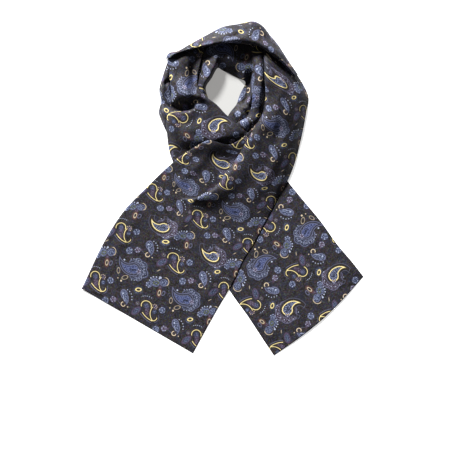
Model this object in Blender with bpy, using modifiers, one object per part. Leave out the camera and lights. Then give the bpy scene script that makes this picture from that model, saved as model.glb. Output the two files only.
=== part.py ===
"""A paisley scarf, looped once round an open neck hole and laid flat with its tails crossed.

The cloth is one long rectangle. Each stretch of it that shows is a thin wall, lofted through a short
table with one section across the cloth in each row, and raised until it lies on the stretches below it.
The tables are in millimetres: X to the right, Y towards the neck, Z up from the surface underneath.
"""

import math
from collections import namedtuple

import bpy
import numpy as np
from mathutils import Vector
from mathutils.bvhtree import BVHTree

MM = 0.001
WALL = 1.6              # thickness of the doubled silk
LAYER_GAP = 0.6         # upright clearance between two layers that lie on each other
SEAM_GAP = 0.6          # clearance where one stretch runs on into the next
CELL = 2.0              # spacing of the plan lattice that the layers are settled on
SPREAD_CELLS = 8        # how far a layer's rise over an edge below it is spread, in cells
SETTLE_PASSES = 2
FLAT_BELOW = 0.2        # rises smaller than this lie flat on the surface underneath
PLAN_HALF = (340.0, 390.0)
PLEAT_BEND = 2.6        # height taken up where the cloth turns back on itself inside a pleat
PLEAT_SHUT = 12.0       # tuck from which a pleat is fully turned under
CORE_SIDES = 8

SILK_BROWN = (0.035, 0.030, 0.032, 1.0)
SILK_NAVY = (0.030, 0.035, 0.060, 1.0)
SILK_SLATE = (0.060, 0.068, 0.105, 1.0)

# Tail on top: a section in each row, from under the neck roll down to the hem.
# in is the inner selvedge, nose the edge of the main pleat, out the outer selvedge. tuck is the cloth
# turned back below the nose, and open is 1 where the pleat has run out and the tail lies flat.
TailSection = namedtuple("TailSection", "in_x in_y in_z nose_x nose_y nose_z tuck low crown out_x out_y out_z open")
TAIL_LEFT = [
    TailSection(93, 302, 5, 90, 303, 13, 15, 4, 11, 132, 291, 2, 0),
    TailSection(95, 273, 5, 91, 274, 18, 24, 4, 19, 157, 259, 1, 0),
    TailSection(96, 238, 5, 92, 239, 23, 34, 4, 25, 177, 230, 0, 0),
    TailSection(98, 201, 5, 94, 202, 25, 36, 4, 26, 189, 200, 0, 0),
    TailSection(87, 158, 6, 89, 167, 25, 36, 4, 25, 184, 167, 0, 0),
    TailSection(69, 136, 6, 76, 142, 24, 35, 4, 24, 178, 134, 0, 0),
    TailSection(47, 114, 6, 56, 109, 23, 34, 4, 21, 170, 98, 0, 0),
    TailSection(14, 96, 6, 34, 71, 22, 32, 4, 18, 161, 63, 0, 0),
    TailSection(-30, 105, 6, 8, 35, 20, 27, 4, 14, 144, 19, 0, 0),
    TailSection(-58, 92, 5, -16, 4, 19, 18, 3, 11, 122, -20, 0, 0),
    TailSection(-94, 70, 3, -54, -18, 18, 6, 2, 7, 100, -64, 0, 0),
    TailSection(-112, 55, 2, -76, -27, 13, -8, 1, 4, 87, -88, 0, 0.1),
    TailSection(-128, 41, 2, -98, -34, 8, -18, 1, 2, 74, -113, 0, 0.35),
    TailSection(-164, 6, 1, -132, -50, 4, -26, 0, 1, 45, -160, 0, 0.8),
    TailSection(-217, -49, 0, -120, -111, 0, 0, 0, 0, 25, -203, 0, 1),
    TailSection(-260, -116, 0, -164, -174, 0, 0, 0, 0, -14, -270, 0, 1),
    TailSection(-310, -220, 0, -212, -277, 0, 0, 0, 0, -65, -362, 0, 1),
]
FLAT_SHARES = (0, 0.2, 0.38, 0.40, 0.50, 0.51, 0.53, 0.72, 0.88, 1)

# Tail below: from the hem up to the seam that the upper tail hides. bow pushes the middle outwards.
LowerSection = namedtuple("LowerSection", "left_x left_y right_x right_y bow middle")
TAIL_RIGHT = [
    LowerSection(113, -367, 310, -193, 14, 4),
    LowerSection(89, -331, 285, -161, 8, 1),
    LowerSection(54, -278, 252, -122, 0, 0),
    LowerSection(14, -221, 217, -73, 0, 0),
    LowerSection(-28, -135, 168, -14, 0, 0),
    LowerSection(-74, -38, 107, 61, 0, 3),
]

# The lower tail's own cloth, across the front and up the left of the neck. out is its left edge, in its
# edge on the hole side. The crown and the valley are given by their share of the way across.
BandSection = namedtuple("BandSection", "out_x out_y out_z crown_at crown valley_at valley in_x in_y in_z")
FRONT = [
    BandSection(-74, -38, 0, 0.35, 3, 0.70, 3, 107, 61, 1),
    BandSection(-102, 41, 0, 0.35, 8, 0.70, 9, 78, 94, 8),
    BandSection(-116, 79, 0, 0.32, 11, 0.70, 14, 61, 118, 12),
    BandSection(-120, 101, 0, 0.30, 13, 0.72, 17, 42, 131, 14),
    BandSection(-122, 127, 0, 0.28, 15, 0.74, 20, 22, 150, 13),
    BandSection(-122, 150, 3, 0.26, 18, 0.74, 22, 7, 163, 11),
    BandSection(-114, 184, 9, 0.30, 15, 0.72, 25, -14, 185, 10),
    BandSection(-111, 206, 17, 0.42, 29, 0.82, 24, -33, 205, 10),
    BandSection(-113, 228, 20, 0.48, 32, 0.85, 20, -54, 225, 11),
    BandSection(-116, 250, 21, 0.50, 33, 0.85, 19, -54, 250, 12),
    BandSection(-119, 272, 20, 0.48, 31, 0.80, 18, -48, 276, 12),
    BandSection(-118, 286, 16, 0.48, 24, 0.80, 16, -42, 298, 12),
    BandSection(-101, 293, 11, 0.48, 16, 0.80, 14, -37, 312, 12),
]

# Inner side of the neck, round the hole. The ridge is the lit lip on either side of the hole.
InnerSection = namedtuple("InnerSection", "hole_x hole_y hole_z ridge_x ridge_y ridge out_x out_y out_z")
INNER = [
    InnerSection(-30, 194, 1, -46, 203, 6, -66, 207, 5),
    InnerSection(-37, 222, 0, -50, 229, 20, -64, 236, 6),
    InnerSection(-24, 244, 0, -37, 252, 23, -57, 261, 6),
    InnerSection(-10, 266, 0, -22, 280, 20, -43, 294, 7),
    InnerSection(-1, 261, 1, -8, 294, 12, -19, 322, 10),
    InnerSection(16, 252, 1, 14, 292, 12, 12, 338, 11),
    InnerSection(34, 243, 1, 36, 288, 12, 41, 340, 11),
    InnerSection(50, 235, 1, 58, 275, 13, 69, 325, 9),
    InnerSection(58, 226, 0, 70, 248, 18, 86, 283, 5),
    InnerSection(50, 213, 0, 67, 222, 19, 86, 228, 4),
    InnerSection(40, 200, 0, 60, 201, 17, 82, 198, 4),
    InnerSection(28, 184, 0, 50, 183, 15, 77, 178, 4),
    InnerSection(17, 168, 0, 41, 161, 13, 70, 152, 4),
    InnerSection(5, 148, 0, 29, 138, 6, 58, 124, 3),
]

# Small pleat between the inner side and the upper tail, running down under the front band.
PleatSection = namedtuple("PleatSection", "left_x left_y left_z crown_x crown_y crown right_x right_y right_z")
PLEAT = [
    PleatSection(63, 299, 4, 77, 299, 9, 100, 294, 3),
    PleatSection(66, 274, 4, 80, 271, 17, 105, 266, 3),
    PleatSection(70, 239, 4, 84, 239, 21, 109, 235, 3),
    PleatSection(66, 206, 3, 81, 206, 22, 109, 200, 3),
    PleatSection(63, 178, 3, 77, 177, 20, 105, 167, 3),
    PleatSection(52, 156, 3, 68, 150, 15, 96, 138, 3),
    PleatSection(32, 144, 2, 49, 133, 9, 78, 112, 3),
    PleatSection(16, 128, 1, 34, 114, 5, 62, 90, 2),
]

# Layers that show beyond the left of the neck. The crest is set by its share of the way across.
UnderSection = namedtuple("UnderSection", "out_x out_y out_z crest_at crest in_x in_y in_z")
LEFT_UNDER = [
    UnderSection(-121, 278, 1, 0.3, 7, -89, 281, 7),
    UnderSection(-131, 248, 0, 0.3, 9, -87, 250, 7),
    UnderSection(-139, 217, 0, 0.3, 11, -87, 219, 7),
    UnderSection(-135, 193, 0, 0.3, 6, -85, 191, 7),
    UnderSection(-140, 167, 0, 0.3, 10, -83, 167, 7),
    UnderSection(-131, 142, 0, 0.3, 8, -78, 147, 7),
    UnderSection(-120, 118, 0, 0.3, 4, -70, 125, 6),
]

# Roll of cloth across the back of the neck. out is its outer foot, nose its edge over the hole side,
# and tuck the cloth turned under that edge.
RollSection = namedtuple("RollSection", "out_x out_y nose_x nose_y nose crown tuck under")
ROLL = [
    RollSection(-123, 286, -104, 281, 20, 21, 5, 15),
    RollSection(-118, 296, -85, 287, 22, 24, 8, 15),
    RollSection(-98, 301, -60, 293, 23, 27, 10, 15),
    RollSection(-67, 318, -41, 302, 24, 30, 11, 15),
    RollSection(-34, 336, -18, 311, 25, 33, 11, 15),
    RollSection(-1, 354, 12, 320, 27, 36, 14, 16),
    RollSection(34, 361, 38, 318, 29, 38, 17, 16),
    RollSection(69, 366, 65, 313, 31, 40, 20, 16),
    RollSection(89, 354, 79, 309, 31, 39, 19, 16),
    RollSection(105, 336, 94, 300, 30, 37, 16, 16),
    RollSection(120, 318, 107, 290, 29, 35, 13, 16),
    RollSection(142, 283, 131, 272, 26, 30, 8, 17),
    RollSection(165, 250, 156, 245, 20, 22, 3, 14),
]

# Hidden layers of the wrap, as one rounded band under the neck.
CoreSection = namedtuple("CoreSection", "x y half_width height")
CORE = [
    CoreSection(-40, 128, 20, 4),
    CoreSection(-76, 170, 24, 7),
    CoreSection(-88, 222, 23, 9),
    CoreSection(-75, 270, 22, 10),
    CoreSection(-34, 302, 20, 11),
    CoreSection(24, 317, 24, 12),
    CoreSection(74, 314, 26, 12),
    CoreSection(108, 276, 22, 12),
    CoreSection(133, 222, 26, 12),
    CoreSection(134, 168, 24, 10),
    CoreSection(116, 130, 20, 5),
]

# Main creases, laid on in plan: a soft ridge where depth is above 0 and a soft trough below 0.
Crease = namedtuple("Crease", "x0 y0 x1 y1 bow width depth")
TAIL_LEFT_CREASES = [
    Crease(150, 235, 118, 92, -6, 9, -4.0),
    Crease(138, 120, 60, -30, 8, 11, 3.0),
    Crease(158, 90, 92, -60, 5, 10, 2.5),
    Crease(-20, 88, -112, 6, 6, 10, 3.0),
    Crease(-60, -40, -130, -150, -5, 14, 2.5),
    Crease(-180, -40, -245, -150, 4, 14, 2.0),
    Crease(0, -120, -48, -260, 6, 15, 2.5),
    Crease(-290, -212, -215, -262, 0, 16, 2.5),
    Crease(-322, -198, -292, -244, 0, 16, 2.5),
]
TAIL_RIGHT_CREASES = [
    Crease(205, -95, 262, -215, 6, 13, 2.5),
    Crease(120, -200, 190, -300, -6, 15, 2.5),
    Crease(60, -250, 110, -335, 4, 12, 2.0),
    Crease(255, -160, 292, -205, 3, 12, 2.5),
]
FRONT_CREASES = [
    Crease(-124, 172, -70, 181, 9, 8, -19.0),
    Crease(-118, 143, -30, 158, -4, 9, 3.5),
    Crease(-110, 112, 26, 128, -8, 12, 3.0),
    Crease(-96, 84, 40, 112, -5, 10, -3.0),
    Crease(-70, 292, -64, 230, -4, 7, -5.0),
    Crease(-100, 280, -96, 210, -5, 8, 2.5),
]
ROLL_CREASES = [
    Crease(-80, 303, 60, 352, -14, 6, 2.0),
    Crease(20, 334, 140, 276, -16, 6, -2.5),
    Crease(60, 345, 150, 262, -8, 6, 2.0),
]
INNER_CREASES = [
    Crease(-2, 285, 4, 330, 0, 9, 4.0),
    Crease(30, 262, 34, 330, 0, 8, -3.0),
    Crease(58, 262, 62, 320, 0, 8, 4.0),
]
UNDER_CREASES = [
    Crease(-132, 240, -108, 190, -5, 6, 4.0),
    Crease(-128, 226, -104, 252, 0, 5, -4.0),
    Crease(-134, 176, -108, 134, -4, 6, 4.0),
]
PLEAT_CREASES = [
    Crease(80, 262, 78, 176, 3, 5, 2.0),
]


def smooth(points, per_span):
    """Points along a centripetal Catmull-Rom curve through the given ones."""
    points = np.asarray(points, float)
    chain = np.vstack([2 * points[0] - points[1], points, 2 * points[-1] - points[-2]])
    curve = []
    for p0, p1, p2, p3 in zip(chain, chain[1:], chain[2:], chain[3:]):
        steps = [max(np.linalg.norm(b - a), 1e-3) ** 0.5 for a, b in ((p0, p1), (p1, p2), (p2, p3))]
        t0, t1, t2, t3 = np.cumsum([0.0] + steps)
        t = np.linspace(t1, t2, per_span, endpoint=False)[:, None]
        a1 = ((t1 - t) * p0 + (t - t0) * p1) / (t1 - t0)
        a2 = ((t2 - t) * p1 + (t - t1) * p2) / (t2 - t1)
        a3 = ((t3 - t) * p2 + (t - t2) * p3) / (t3 - t2)
        b1 = ((t2 - t) * a1 + (t - t0) * a2) / (t2 - t0)
        b2 = ((t3 - t) * a2 + (t - t1) * a3) / (t3 - t1)
        curve.extend(((t2 - t) * b1 + (t - t1) * b2) / (t2 - t1))
    return np.array(curve + [points[-1]])


def loft(sections, across, along):
    """Grid of points, along by across, through sections that each hold the same number of knots."""
    ribs = np.array([smooth(knots, across) for knots in sections])
    return np.stack([smooth(ribs[:, i], along) for i in range(ribs.shape[1])], axis=1)


def blend(a, b, share):
    """Point that lies the given share of the way from a to b."""
    return a + (b - a) * share


def plan(x, y, z=0.0):
    return np.array((x, y, z), float)


def tail_left_knots(row):
    """Section of the upper tail: lower layer, turn under the pleat, nose, crown, outer selvedge."""
    inner = plan(row.in_x, row.in_y, row.in_z)
    nose = plan(row.nose_x, row.nose_y)
    outer = plan(row.out_x, row.out_y, row.out_z)
    reach = plan(row.out_x, row.out_y) - nose
    outward = reach / np.linalg.norm(reach)
    shut = min(max(row.tuck / PLEAT_SHUT, 0), 1)
    turn = nose + outward * row.tuck
    above_turn = nose + outward * row.tuck * (0.85 + 0.15 * shut)
    roll = max(row.nose_z - row.low - PLEAT_BEND, 1.0) / 2
    folded = [
        inner,
        blend(inner, turn + plan(0, 0, row.low), 0.55),
        turn + plan(0, 0, row.low),
        above_turn + plan(0, 0, row.low + PLEAT_BEND * (0.6 + 0.4 * shut)),
        nose + outward * roll * shut + plan(0, 0, row.nose_z - 1.6 * roll),
        nose + plan(0, 0, row.nose_z - 0.8 * roll),
        nose + outward * roll + plan(0, 0, row.nose_z),
        nose + reach * 0.42 + plan(0, 0, row.crown),
        nose + reach * 0.82 + plan(0, 0, row.crown * 0.42),
        outer,
    ]
    flat = [blend(inner, outer, share) for share in FLAT_SHARES]
    return [blend(a, b, row.open) for a, b in zip(folded, flat)]


def tail_right_knots(row):
    """Section of the lower tail, bowed towards the hem in its middle."""
    left, right = plan(row.left_x, row.left_y), plan(row.right_x, row.right_y)
    side = right - left
    hemward = plan(side[1], -side[0]) / np.linalg.norm(side)
    knots = []
    for share in (0, 0.25, 0.5, 0.75, 1):
        swell = math.sin(math.pi * share)
        knots.append(blend(left, right, share) + hemward * row.bow * swell + plan(0, 0, row.middle * swell))
    return knots


def front_knots(row):
    """Section of the front band or of the left of the neck."""
    outer, inner = plan(row.out_x, row.out_y), plan(row.in_x, row.in_y)
    shoulder = row.crown_at * 0.35
    return [
        outer + plan(0, 0, row.out_z),
        blend(outer, inner, shoulder) + plan(0, 0, row.out_z + (row.crown - row.out_z) * 0.62),
        blend(outer, inner, row.crown_at) + plan(0, 0, row.crown),
        blend(outer, inner, row.valley_at) + plan(0, 0, row.valley),
        blend(outer, inner, 0.94) + plan(0, 0, (row.valley + 2 * row.in_z) / 3),
        inner + plan(0, 0, row.in_z),
    ]


def inner_knots(row):
    """Section of the inner side, from the hole out to where other layers hide it."""
    hole = plan(row.hole_x, row.hole_y, row.hole_z)
    ridge = plan(row.ridge_x, row.ridge_y, row.ridge)
    outer = plan(row.out_x, row.out_y, row.out_z)
    rise = blend(hole, ridge, 0.45) + plan(0, 0, 0.18 * row.ridge)
    return [hole, rise, ridge, blend(ridge, outer, 0.5) - plan(0, 0, 0.1 * row.ridge), outer]


def pleat_knots(row):
    """Section of the small pleat."""
    left = plan(row.left_x, row.left_y, row.left_z)
    crown = plan(row.crown_x, row.crown_y, row.crown)
    right = plan(row.right_x, row.right_y, row.right_z)
    lift = 0.22 * (row.crown - row.left_z)
    return [left, blend(left, crown, 0.5) + plan(0, 0, lift), crown, blend(crown, right, 0.4), right]


def under_knots(row):
    """Section of the layers beyond the left of the neck."""
    outer, inner = plan(row.out_x, row.out_y), plan(row.in_x, row.in_y)
    return [
        outer + plan(0, 0, row.out_z),
        blend(outer, inner, row.crest_at * 0.4) + plan(0, 0, row.crest * 0.65),
        blend(outer, inner, row.crest_at) + plan(0, 0, row.crest),
        inner + plan(0, 0, row.in_z),
    ]


def roll_knots(row):
    """Section of the roll: outer foot, shoulder, crown, nose, and the edge turned under."""
    foot, nose = plan(row.out_x, row.out_y), plan(row.nose_x, row.nose_y)
    back = (foot - nose) / np.linalg.norm(foot - nose)
    depth = (row.nose - row.under) / 2
    return [
        foot,
        blend(foot, nose, 0.04) + plan(0, 0, 0.45 * row.crown),
        blend(foot, nose, 0.18) + plan(0, 0, 0.80 * row.crown),
        blend(foot, nose, 0.55) + plan(0, 0, row.crown),
        nose + back * depth * 0.8 + plan(0, 0, row.nose),
        nose + plan(0, 0, row.nose - depth),
        nose + back * depth * 0.8 + plan(0, 0, row.under),
        nose + back * (row.tuck + depth) + plan(0, 0, row.under - 1.0),
    ]


def lay_creases(grid, creases):
    """Raise or lower the points of a grid along each crease."""
    for crease in creases:
        start = plan(crease.x0, crease.y0)[:2]
        run = plan(crease.x1, crease.y1)[:2] - start
        length = np.linalg.norm(run)
        run /= length
        offset = grid[..., :2] - start
        share = np.clip(offset @ run / length, 0, 1)
        aside = offset @ np.array((-run[1], run[0])) - 4 * crease.bow * share * (1 - share)
        taper = np.sin(math.pi * share) ** 0.6
        grid[..., 2] += crease.depth * taper * np.exp(-(aside / crease.width) ** 2)
    grid[..., 2] = np.maximum(grid[..., 2] - FLAT_BELOW, 0)


def tuck_seam(grid, row, step):
    """Draw one end of a grid back by half the seam gap."""
    run = grid[row + step] - grid[row]
    grid[row] += run / np.linalg.norm(run, axis=1, keepdims=True) * SEAM_GAP / 2


def silk(name, colour):
    """Silky cloth material."""
    material = bpy.data.materials.new(name)
    material.use_nodes = True
    shader = material.node_tree.nodes["Principled BSDF"]
    shader.inputs["Base Color"].default_value = colour
    shader.inputs["Roughness"].default_value = 0.5
    shader.inputs["Metallic"].default_value = 0.0
    return material


def add_object(name, vertices, faces, colour):
    """Object with a mesh in metres from points in millimetres."""
    mesh = bpy.data.meshes.new(name)
    mesh.from_pydata([tuple(v * MM) for v in vertices], [], faces)
    mesh.shade_smooth()
    mesh.materials.append(silk(name + "_silk", colour))
    thing = bpy.data.objects.new(name, mesh)
    scarf.objects.link(thing)
    return thing


def add_sheet(name, grid, colour):
    """Thin wall round a grid of points, which give the height of its underside."""
    rows, columns = grid.shape[:2]
    index = np.arange(rows * columns).reshape(rows, columns)
    corners = (index[:-1, :-1], index[1:, :-1], index[1:, 1:], index[:-1, 1:])
    faces = np.stack([c.ravel() for c in corners], axis=1)
    points = grid.reshape(-1, 3) + (0, 0, WALL / 2)
    a, b, c = points[faces[:, 0]], points[faces[:, 1]], points[faces[:, 2]]
    if np.cross(b - a, c - a)[:, 2].sum() < 0:
        faces = faces[:, ::-1]
    sheet = add_object(name, points, faces.tolist(), colour)
    wall = sheet.modifiers.new("wall", "SOLIDIFY")
    wall.thickness = WALL * MM
    wall.offset = 0
    return sheet


def add_core(name, sections, colour):
    """Rounded solid with a flat underside along a path."""
    middle = smooth([(row.x, row.y, 0) for row in sections], 2)
    sizes = smooth([(row.half_width, row.height, 0) for row in sections], 2)
    run = np.gradient(middle, axis=0)
    side = np.stack([-run[:, 1], run[:, 0], run[:, 2]], axis=1) / np.linalg.norm(run, axis=1)[:, None]
    turns = np.linspace(0, math.pi, CORE_SIDES + 1)
    vertices = []
    for centre, across, (half_width, height, _) in zip(middle, side, sizes):
        for turn in turns:
            vertices.append(centre + across * half_width * math.cos(turn) + plan(0, 0, height * math.sin(turn)))
    ring = len(turns)
    faces = []
    for row in range(len(middle) - 1):
        for i in range(ring):
            a, b = row * ring + i, row * ring + (i + 1) % ring
            faces.append((a, b, b + ring, a + ring))
    faces.append(tuple(reversed(range(ring))))
    faces.append(tuple(range(len(vertices) - ring, len(vertices))))
    return add_object(name, vertices, faces, colour)


def surface_tree(thing):
    """Search tree of an object's finished surface."""
    return BVHTree.FromObject(thing, bpy.context.evaluated_depsgraph_get())


def height_map(tree, xs, ys, downwards):
    """Height in millimetres of the first surface met over each plan cell, NaN where there is none."""
    level = 1.0 if downwards else -1.0
    heights = np.full((len(xs), len(ys)), np.nan)
    for i, x in enumerate(xs):
        for j, y in enumerate(ys):
            hit = tree.ray_cast(Vector((x * MM, y * MM, level)), Vector((0, 0, -level)))[0]
            if hit is not None:
                heights[i, j] = hit.z / MM
    return heights


def spread(field):
    """Largest value within the spread, then averaged over it, so the result never falls below field."""
    for pick in (np.max, np.mean):
        for axis in (0, 1):
            padded = np.pad(field, [(SPREAD_CELLS, SPREAD_CELLS) if a == axis else (0, 0) for a in (0, 1)], "edge")
            window = np.lib.stride_tricks.sliding_window_view(padded, 2 * SPREAD_CELLS + 1, axis=axis)
            field = pick(window, axis=-1)
    return field


def with_neighbours(field, pick):
    """Each cell's height, taken together with those of the four cells beside it."""
    wide = np.pad(field, 1, constant_values=np.nan)
    beside = (wide[:-2, 1:-1], wide[2:, 1:-1], wide[1:-1, :-2], wide[1:-1, 2:])
    joined = field
    for other in beside:
        joined = pick(joined, other)
    return np.where(np.isnan(field), np.nan, joined)


def settle(sheet, heap):
    """Raise a sheet until it clears everything below it. heap holds the height of what lies there."""
    xs = np.arange(-PLAN_HALF[0], PLAN_HALF[0] + CELL, CELL)
    ys = np.arange(-PLAN_HALF[1], PLAN_HALF[1] + CELL, CELL)
    for _ in range(SETTLE_PASSES if heap else 0):
        underside = height_map(surface_tree(sheet), xs, ys, False)
        short = with_neighbours(heap["top"], np.fmax) + LAYER_GAP - with_neighbours(underside, np.fmin)
        rise = spread(np.where(np.isnan(short), 0, np.maximum(short, 0)))
        for vertex in sheet.data.vertices:
            u, v = (vertex.co.x / MM - xs[0]) / CELL, (vertex.co.y / MM - ys[0]) / CELL
            i, j = int(u), int(v)
            near, far = rise[i, j:j + 2], rise[i + 1, j:j + 2]
            lift = blend(blend(near[0], near[1], v - j), blend(far[0], far[1], v - j), u - i)
            vertex.co.z += MM * float(lift)
        sheet.data.update()
        bpy.context.view_layer.update()
    top = height_map(surface_tree(sheet), xs, ys, True)
    heap["top"] = np.fmax(heap["top"], top) if heap else top


for old in list(bpy.data.objects):
    bpy.data.objects.remove(old, do_unlink=True)
scarf = bpy.data.collections.new("Paisley scarf")
bpy.context.scene.collection.children.link(scarf)

Stretch = namedtuple("Stretch", "name knots table across along creases colour")
STRETCHES = [
    Stretch("tail_right", tail_right_knots, TAIL_RIGHT, 3, 4, TAIL_RIGHT_CREASES, SILK_NAVY),
    Stretch("left_under", under_knots, LEFT_UNDER, 3, 3, UNDER_CREASES, SILK_SLATE),
    Stretch("neck_inner", inner_knots, INNER, 3, 2, INNER_CREASES, SILK_BROWN),
    Stretch("inner_pleat", pleat_knots, PLEAT, 2, 3, PLEAT_CREASES, SILK_SLATE),
    Stretch("front", front_knots, FRONT, 4, 3, FRONT_CREASES, SILK_NAVY),
    Stretch("tail_left", tail_left_knots, TAIL_LEFT, 2, 3, TAIL_LEFT_CREASES, SILK_SLATE),
    Stretch("neck_roll", roll_knots, ROLL, 2, 3, ROLL_CREASES, SILK_BROWN),
]

heap = {}
core = add_core("hidden_layers", CORE, SILK_BROWN)
bpy.context.view_layer.update()
settle(core, heap)
for stretch in STRETCHES:
    grid = loft([stretch.knots(row) for row in stretch.table], stretch.across, stretch.along)
    lay_creases(grid, stretch.creases)
    if stretch.name == "tail_right":
        tuck_seam(grid, -1, -1)
    if stretch.name == "front":
        tuck_seam(grid, 0, 1)
    sheet = add_sheet(stretch.name, grid, stretch.colour)
    bpy.context.view_layer.update()
    settle(sheet, heap)
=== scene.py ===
"""Looks of the paisley scarf: printed silk laid in one loop with its tails crossed, on a pale floor.

Every stretch of cloth that shows is a thin shell over its solid. Its form comes from a table of
sections, sampled finely, with the creases laid on, and is settled on the stretches below it. Each shell
carries a map of the flat cloth, so one printed repeat runs on over folds and creases.
Shapes are in millimetres: X to the right, Y towards the neck, Z up from the floor.
"""

import math
from collections import namedtuple

import bpy
import numpy as np
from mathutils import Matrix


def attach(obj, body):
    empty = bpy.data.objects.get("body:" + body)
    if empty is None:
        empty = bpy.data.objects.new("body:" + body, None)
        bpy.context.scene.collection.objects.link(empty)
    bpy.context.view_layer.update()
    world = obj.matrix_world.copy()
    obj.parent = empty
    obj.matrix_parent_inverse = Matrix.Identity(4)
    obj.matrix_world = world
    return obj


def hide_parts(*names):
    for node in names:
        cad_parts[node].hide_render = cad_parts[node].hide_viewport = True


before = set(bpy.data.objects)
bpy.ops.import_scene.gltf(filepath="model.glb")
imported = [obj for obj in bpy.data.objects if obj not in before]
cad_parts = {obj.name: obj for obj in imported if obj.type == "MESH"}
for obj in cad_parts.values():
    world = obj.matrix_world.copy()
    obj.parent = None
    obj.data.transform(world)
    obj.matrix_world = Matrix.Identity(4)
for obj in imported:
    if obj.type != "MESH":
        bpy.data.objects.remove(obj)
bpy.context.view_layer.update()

MM = 0.001
WALL = 0.7              # thickness of the doubled silk
LAYER_GAP = 0.35        # upright clearance between two layers that lie on each other
SEAM_GAP = 0.6          # clearance where one stretch runs on into the next
STEP = 2.6              # spacing of the points of a shell
LEAST_STEPS = 3         # fewest steps between two knots
LEAST_APART = 0.001     # two knots count as at least this far apart
FLAT_BELOW = 0.2        # taken off every height, so that smaller rises lie flat on the floor

# Plan lattice that the layers are settled on.
PLAN_HALF = (340.0, 390.0)
CELL = 1.5
PLAN_CELLS = [int(2 * half / CELL) + 2 for half in PLAN_HALF]
FACE_SAMPLES = 4        # samples of a grid's height along each side of a face
SPREAD_CELLS = 8        # how far a layer's rise over an edge below it is spread, in cells
SETTLE_PASSES = 2

# Flat cloth that the print lies on.
CLOTH_WIDTH = 282.0     # from selvedge to selvedge
CURLED_IN = 26.0        # width curled under at the upper tail's inner selvedge, where it isn't flat
GATHER_FROM = -203.0    # place along the upper tail, from its hem, above which it is finely gathered
GATHERS = (1.13, 1.17)  # length of cloth to a length of gathered tail, at the outer selvedge and inside
GATHERED_AT = 50.0      # distance from that selvedge where the second of these is reached
LEAST_RUN = 0.3         # least share of a step between two sections that is taken as length of cloth


def table(columns, rows):
    """Rows of values with named columns."""
    Row = namedtuple("Row", columns)
    return [Row(*row) for row in rows]


# Tail on top: a section in each row, from under the neck roll down to the hem. in is the inner selvedge,
# nose the edge of the main pleat, out the outer selvedge. tuck is the cloth turned back below the nose
# and low its height. open is 1 where the pleat has run out and the tail lies flat.
TAIL_LEFT = table("in_x in_y in_z nose_x nose_y nose_z tuck low crown out_x out_y out_z open", [
    (93, 302, 5, 90, 303, 13, 15, 4, 11, 132, 291, 2, 0),
    (95, 273, 5, 91, 274, 18, 24, 4, 19, 157, 259, 1, 0),
    (96, 238, 5, 92, 239, 22, 34, 4, 24, 177, 230, 0, 0),
    (98, 201, 5, 94, 202, 24, 36, 4, 26, 189, 200, 0, 0),
    (87, 158, 6, 89, 167, 26, 36, 4, 28, 184, 167, 0, 0),
    (69, 136, 6, 76, 142, 27, 35, 4, 29, 178, 134, 0, 0),
    (47, 114, 6, 56, 109, 27, 34, 4, 28, 170, 98, 0, 0),
    (14, 96, 6, 34, 71, 26, 32, 4, 27, 161, 63, 0, 0),
    (-30, 105, 6, 8, 35, 23, 27, 4, 21, 144, 19, 0, 0),
    (-58, 92, 5, -16, 4, 19, 18, 3, 16, 122, -20, 0, 0),
    (-94, 70, 3, -54, -18, 15, 6, 2, 10, 100, -64, 0, 0),
    (-112, 55, 2, -76, -27, 10, -8, 1, 6, 87, -88, 0, 0.1),
    (-128, 41, 2, -98, -34, 6, -18, 1, 5, 74, -113, 0, 0.35),
    (-164, 6, 1, -132, -50, 4, -26, 0, 1, 45, -160, 0, 0.8),
    (-217, -49, 0, -120, -111, 0, 0, 0, 0, 25, -203, 0, 1),
    (-260, -116, 0, -164, -174, 0, 0, 0, 0, -14, -270, 0, 1),
    (-310, -220, 0, -212, -277, 0, 0, 0, 0, -65, -362, 0, 1),
])

# Tail below: from the hem up to the seam that the upper tail hides. bow pushes the middle of a section
# towards the hem, and middle is its height there.
TAIL_RIGHT = table("left_x left_y right_x right_y bow middle", [
    (113, -367, 310, -193, 11, 2),
    (89, -331, 285, -161, 8, 1),
    (54, -278, 252, -122, 0, 0),
    (14, -221, 217, -73, 0, 0),
    (-28, -135, 168, -14, 0, 0),
    (-74, -38, 107, 61, 0, 3),
])

# The lower tail's own cloth, across the front and up the left of the neck. out is its left edge, in its
# edge on the hole side. The crown and the valley are given by their share of the way across.
FRONT = table("out_x out_y out_z crown_at crown valley_at valley in_x in_y in_z", [
    (-74, -38, 0, 0.35, 2, 0.70, 1, 107, 61, 1),
    (-102, 41, 0, 0.35, 8, 0.68, 4, 78, 94, 4),
    (-116, 79, 0, 0.30, 14, 0.68, 19, 61, 118, 11),
    (-120, 101, 0, 0.26, 19, 0.72, 22, 42, 131, 14),
    (-122, 127, 0, 0.24, 18, 0.74, 20, 22, 150, 13),
    (-122, 150, 3, 0.22, 15, 0.74, 21, 7, 163, 11),
    (-114, 184, 9, 0.28, 12, 0.72, 22, -14, 185, 10),
    (-111, 208, 17, 0.48, 35, 0.84, 25, -33, 199, 10),
    (-113, 228, 18, 0.46, 29, 0.86, 14, -54, 225, 10),
    (-116, 250, 18, 0.38, 21, 0.85, 8, -54, 250, 9),
    (-120, 272, 18, 0.36, 20, 0.82, 8, -48, 276, 9),
    (-118, 287, 17, 0.42, 17, 0.80, 12, -42, 300, 11),
    (-99, 297, 11, 0.42, 12, 0.80, 11, -37, 325, 11),
])

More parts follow.
